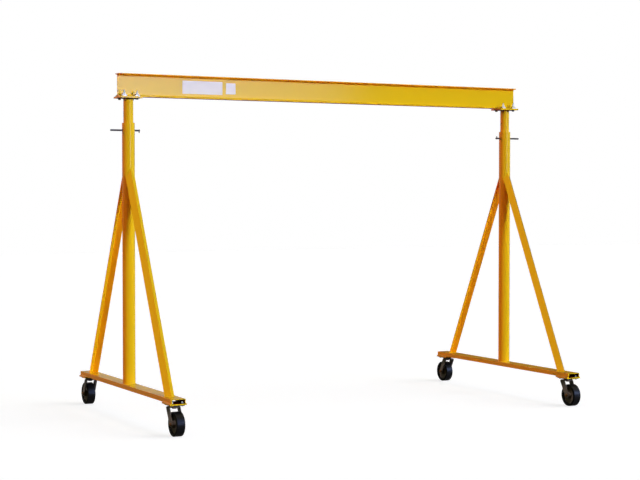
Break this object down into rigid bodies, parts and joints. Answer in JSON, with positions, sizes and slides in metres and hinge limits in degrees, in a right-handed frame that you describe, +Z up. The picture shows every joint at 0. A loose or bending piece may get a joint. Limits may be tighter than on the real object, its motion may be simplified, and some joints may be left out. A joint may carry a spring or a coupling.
{
  "type": "gantry crane",
  "caption": "Portable gantry crane: an I-beam on two height-adjustable pipe posts with angle braces, standing on channel bases with swivel casters, for rolling a hoist over a load.",
  "frame": {"origin": "on the floor under the middle of the beam", "axes": "+X along the beam, -Y to the front, +Z up"},
  "size_m": [4.432, 2.494, 3.129],
  "materials": {
    "yellow_paint": "gloss amber-yellow enamel",
    "pin_steel": "dark plated steel",
    "zinc_steel": "bright zinc plate",
    "caster_steel": "semi-gloss dark grey-brown",
    "axle_steel": "dull oiled steel",
    "wheel_iron": "black painted casting",
    "tyre_rubber": "smooth black tread"
  },
  "bodies": {
    "frame": {"beam": "yellow_paint", "left_base": "yellow_paint", "left_beam_clamps": "zinc_steel", "left_front_brace": "yellow_paint", "left_front_caster_pad": "yellow_paint", "left_front_caster_plate": "caster_steel", "left_guide_ring": "yellow_paint", "left_inner_post": "yellow_paint", "left_lock_pin": "pin_steel", "left_outer_post": "yellow_paint", "left_pin_clip": "pin_steel", "left_rear_brace": "yellow_paint", "left_rear_caster_pad": "yellow_paint", "left_rear_caster_plate": "caster_steel", "left_top_plate": "yellow_paint", "right_base": "yellow_paint", "right_beam_clamps": "zinc_steel", "right_front_brace": "yellow_paint", "right_front_caster_pad": "yellow_paint", "right_front_caster_plate": "caster_steel", "right_guide_ring": "yellow_paint", "right_inner_post": "yellow_paint", "right_lock_pin": "pin_steel", "right_outer_post": "yellow_paint", "right_pin_clip": "pin_steel", "right_rear_brace": "yellow_paint", "right_rear_caster_pad": "yellow_paint", "right_rear_caster_plate": "caster_steel", "right_top_plate": "yellow_paint"},
    "left_front_fork": {"left_front_caster_fork": "caster_steel", "left_front_caster_axle": "axle_steel"},
    "left_front_wheel": {"left_front_wheel_core": "wheel_iron", "left_front_tyre": "tyre_rubber"},
    "left_rear_fork": {"left_rear_caster_fork": "caster_steel", "left_rear_caster_axle": "axle_steel"},
    "left_rear_wheel": {"left_rear_wheel_core": "wheel_iron", "left_rear_tyre": "tyre_rubber"},
    "right_front_fork": {"right_front_caster_fork": "caster_steel", "right_front_caster_axle": "axle_steel"},
    "right_front_wheel": {"right_front_wheel_core": "wheel_iron", "right_front_tyre": "tyre_rubber"},
    "right_rear_fork": {"right_rear_caster_fork": "caster_steel", "right_rear_caster_axle": "axle_steel"},
    "right_rear_wheel": {"right_rear_wheel_core": "wheel_iron", "right_rear_tyre": "tyre_rubber"}
  },
  "joints": [
    {"name": "left_front_swivel", "type": "hinge", "parent": "frame", "child": "left_front_fork", "pos_m": [-2.045, -1.091, 0.2477], "axis": [0, 0, 1], "continuous": true},
    {"name": "left_front_roll", "type": "hinge", "parent": "left_front_fork", "child": "left_front_wheel", "pos_m": [-2.045, -1.142, 0.105], "axis": [1, 0, 0], "continuous": true},
    {"name": "left_rear_swivel", "type": "hinge", "parent": "frame", "child": "left_rear_fork", "pos_m": [-2.045, 1.091, 0.2477], "axis": [0, 0, 1], "continuous": true},
    {"name": "left_rear_roll", "type": "hinge", "parent": "left_rear_fork", "child": "left_rear_wheel", "pos_m": [-2.045, 1.142, 0.105], "axis": [1, 0, 0], "continuous": true},
    {"name": "right_front_swivel", "type": "hinge", "parent": "frame", "child": "right_front_fork", "pos_m": [2.045, -1.091, 0.2477], "axis": [0, 0, 1], "continuous": true},
    {"name": "right_front_roll", "type": "hinge", "parent": "right_front_fork", "child": "right_front_wheel", "pos_m": [2.045, -1.142, 0.105], "axis": [1, 0, 0], "continuous": true},
    {"name": "right_rear_swivel", "type": "hinge", "parent": "frame", "child": "right_rear_fork", "pos_m": [2.045, 1.091, 0.2477], "axis": [0, 0, 1], "continuous": true},
    {"name": "right_rear_roll", "type": "hinge", "parent": "right_rear_fork", "child": "right_rear_wheel", "pos_m": [2.045, 1.142, 0.105], "axis": [1, 0, 0], "continuous": true}
  ]
}
